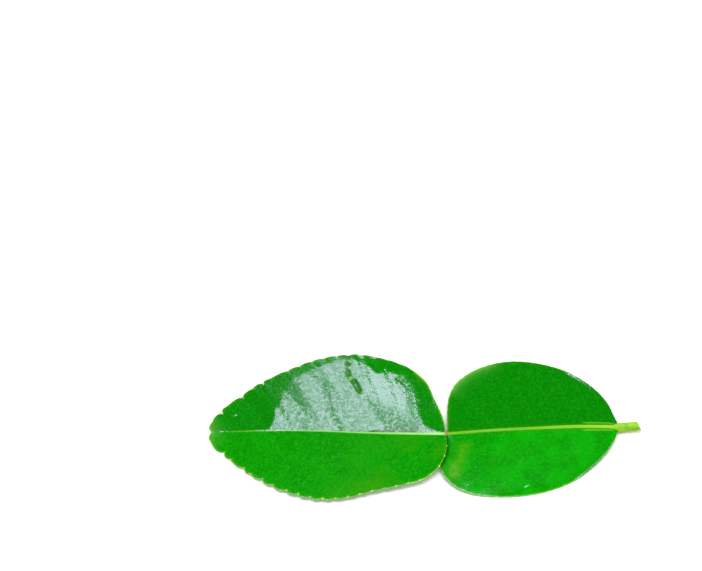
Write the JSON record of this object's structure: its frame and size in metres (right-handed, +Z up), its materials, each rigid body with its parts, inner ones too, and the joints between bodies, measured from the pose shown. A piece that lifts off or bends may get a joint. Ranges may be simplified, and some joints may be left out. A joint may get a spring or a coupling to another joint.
{
  "type": "kaffir lime leaf",
  "caption": "Cut kaffir lime leaf lying flat: an oval blade with a scalloped margin joined end to end with a leaf-shaped winged petiole and a short cut stalk, for use as a fresh herb.",
  "frame": {"origin": "on the surface that the leaf lies on, below the middle of its outline", "axes": "+X along the leaf from the blade's tip to the cut stalk, +Y across it to the raised half of the blade, +Z up"},
  "size_m": [0.117, 0.0432, 0.0086],
  "materials": {
    "leaf": "fresh green leaf, waxy and glossy above, paler and matt below"
  },
  "bodies": {
    "root": {"leaf": "leaf"}
  },
  "joints": []
}
